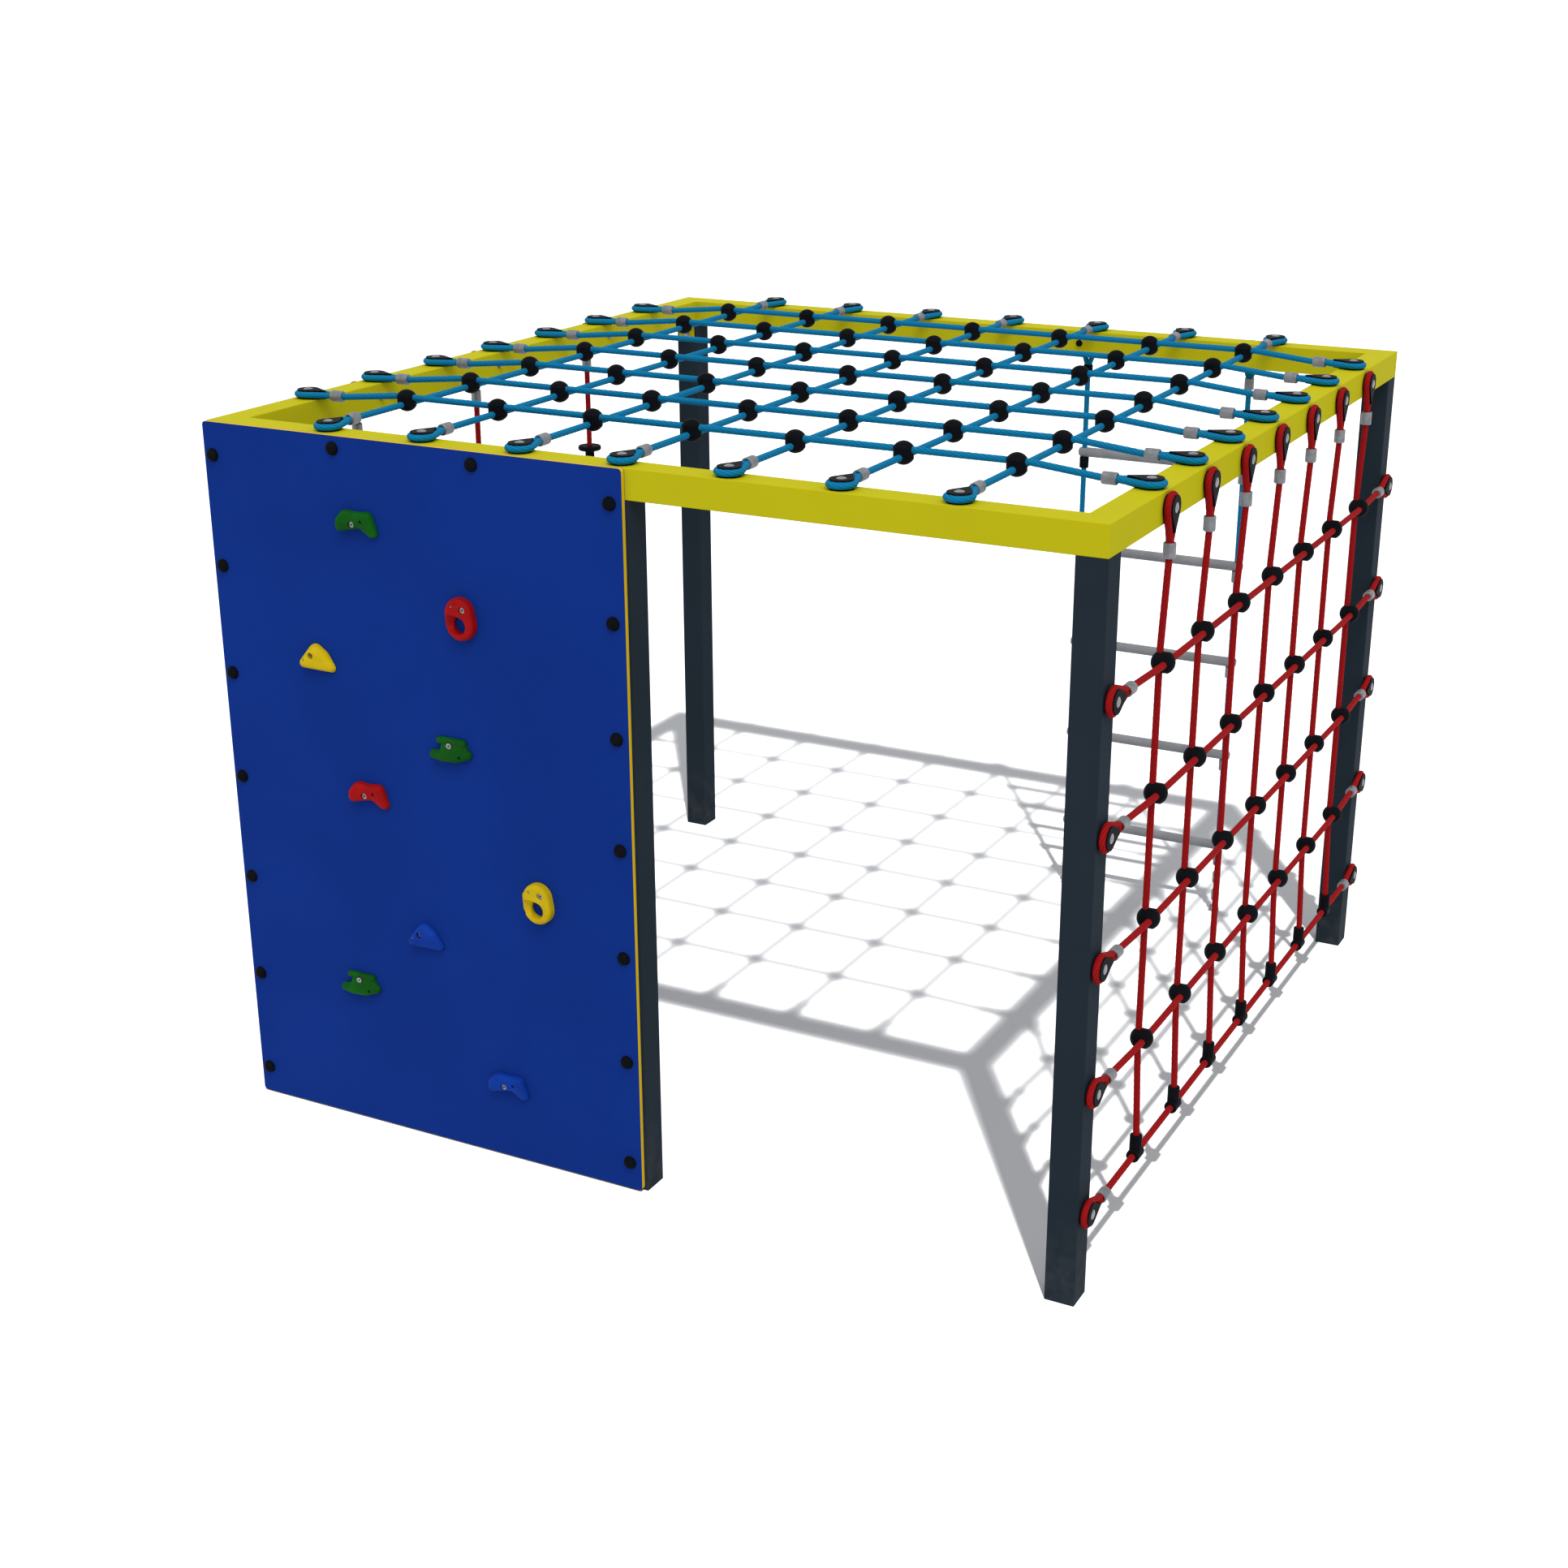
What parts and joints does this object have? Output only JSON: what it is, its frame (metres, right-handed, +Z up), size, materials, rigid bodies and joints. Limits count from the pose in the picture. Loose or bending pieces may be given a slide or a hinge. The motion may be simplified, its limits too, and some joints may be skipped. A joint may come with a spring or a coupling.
{
  "type": "playground climbing cube",
  "caption": "Open cube of square tubes for climbing: a wall with holds on one side, rope nets across the top and one side, a rope ladder with rungs and ropes with discs on the others.",
  "frame": {"origin": "on the ground, in the middle of the outline of the whole object", "axes": "+X to the right seen from the climbing wall's side, +Y from the wall towards the ladder, +Z up"},
  "size_m": [2.6542, 2.6362, 2.0516],
  "materials": {
    "dark_paint": "fine textured powder coat, dark blue-grey",
    "yellow_paint": "fine textured powder coat, lemon yellow",
    "panel_blue": "grained plastic sheet, blue skins on a yellow core",
    "black_plastic": "moulded black plastic, satin",
    "hold_green": "cast resin with a fine sandy grain",
    "hold_red": "cast resin with a fine sandy grain",
    "hold_yellow": "cast resin with a fine sandy grain",
    "hold_blue": "cast resin with a fine sandy grain",
    "rope_blue": "twisted six-strand rope with a textile cover",
    "rope_red": "twisted six-strand rope with a textile cover",
    "ferrule_grey": "pressed aluminium, satin",
    "bolt_steel": "stainless steel",
    "rung_grey": "grey plastic rung with fine lengthwise lines",
    "chain_steel": "galvanised steel"
  },
  "bodies": {
    "frame": {"post_front_left": "dark_paint", "post_front_mid": "dark_paint", "post_front_right": "dark_paint", "post_back_left": "dark_paint", "post_back_right": "dark_paint", "beam_front": "yellow_paint", "beam_back": "yellow_paint", "beam_left": "yellow_paint", "beam_right": "yellow_paint", "brackets": "yellow_paint", "frame_bolts": "bolt_steel", "wall_panel": "panel_blue", "wall_caps": "black_plastic", "hold_bean_green": "hold_green", "hold_ring_red": "hold_red", "hold_wedge_yellow": "hold_yellow", "hold_ledge_high": "hold_green", "hold_bean_red": "hold_red", "hold_ring_yellow": "hold_yellow", "hold_wedge_blue": "hold_blue", "hold_ledge_low": "hold_green", "hold_bean_blue": "hold_blue", "hold_fixings": "bolt_steel", "top_ropes_x": "rope_blue", "top_ropes_y": "rope_blue", "side_uprights": "rope_red", "side_rows": "rope_red", "net_joints": "black_plastic", "side_tees": "black_plastic", "net_thimbles": "black_plastic", "net_ferrules": "ferrule_grey", "net_bolts": "bolt_steel", "rope_bolts": "bolt_steel", "ladder_caps": "black_plastic", "staples": "chain_steel"},
    "ladder": {"ladder_ropes": "rope_blue", "ladder_thimbles": "black_plastic", "ladder_black": "black_plastic", "ladder_grey": "ferrule_grey", "ladder_rungs": "rung_grey"},
    "ladder_chain": {"ladder_chains": "chain_steel"},
    "disc_front": {"disc_rope_front": "rope_red", "disc_thimble_front": "black_plastic", "disc_ferrule_front": "ferrule_grey", "disc_fittings_front": "black_plastic", "discs_front": "black_plastic"},
    "disc_front_chain": {"disc_chain_front": "chain_steel"},
    "disc_mid": {"disc_rope_mid": "rope_red", "disc_thimble_mid": "black_plastic", "disc_ferrule_mid": "ferrule_grey", "disc_fittings_mid": "black_plastic", "discs_mid": "black_plastic"},
    "disc_mid_chain": {"disc_chain_mid": "chain_steel"},
    "disc_back": {"disc_rope_back": "rope_red", "disc_thimble_back": "black_plastic", "disc_ferrule_back": "ferrule_grey", "disc_fittings_back": "black_plastic", "discs_back": "black_plastic"},
    "disc_back_chain": {"disc_chain_back": "chain_steel"}
  },
  "joints": [
    {"name": "ladder_sway", "type": "hinge", "parent": "frame", "child": "ladder", "pos_m": [0.53615, 1.30173, 1.96], "axis": [1, 0, 0], "range_deg": [-1, 1]},
    {"name": "ladder_chain_swing", "type": "hinge", "parent": "ladder", "child": "ladder_chain", "pos_m": [0.53615, 1.30173, 0.1758], "axis": [1, 0, 0], "range_deg": [-12.5, 12.5]},
    {"name": "disc_front_sway", "type": "hinge", "parent": "frame", "child": "disc_front", "pos_m": [-1.28815, -0.62172, 1.96], "axis": [1, 0, 0], "range_deg": [-1, 1]},
    {"name": "disc_front_chain_swing", "type": "hinge", "parent": "disc_front", "child": "disc_front_chain", "pos_m": [-1.28815, -0.62172, 0.1758], "axis": [1, 0, 0], "range_deg": [-12.5, 12.5]},
    {"name": "disc_mid_sway", "type": "hinge", "parent": "frame", "child": "disc_mid", "pos_m": [-1.28815, -0.02173, 1.96], "axis": [1, 0, 0], "range_deg": [-1, 1]},
    {"name": "disc_mid_chain_swing", "type": "hinge", "parent": "disc_mid", "child": "disc_mid_chain", "pos_m": [-1.28815, -0.02173, 0.1758], "axis": [1, 0, 0], "range_deg": [-12.5, 12.5]},
    {"name": "disc_back_sway", "type": "hinge", "parent": "frame", "child": "disc_back", "pos_m": [-1.28815, 0.62328, 1.96], "axis": [1, 0, 0], "range_deg": [-1, 1]},
    {"name": "disc_back_chain_swing", "type": "hinge", "parent": "disc_back", "child": "disc_back_chain", "pos_m": [-1.28815, 0.62328, 0.1758], "axis": [1, 0, 0], "range_deg": [-12.5, 12.5]}
  ],
  "couplings": [
    {"joint": "ladder_chain_swing", "follows": "ladder_sway", "ratio": -12.383},
    {"joint": "disc_front_chain_swing", "follows": "disc_front_sway", "ratio": -12.383},
    {"joint": "disc_mid_chain_swing", "follows": "disc_mid_sway", "ratio": -12.383},
    {"joint": "disc_back_chain_swing", "follows": "disc_back_sway", "ratio": -12.383}
  ]
}
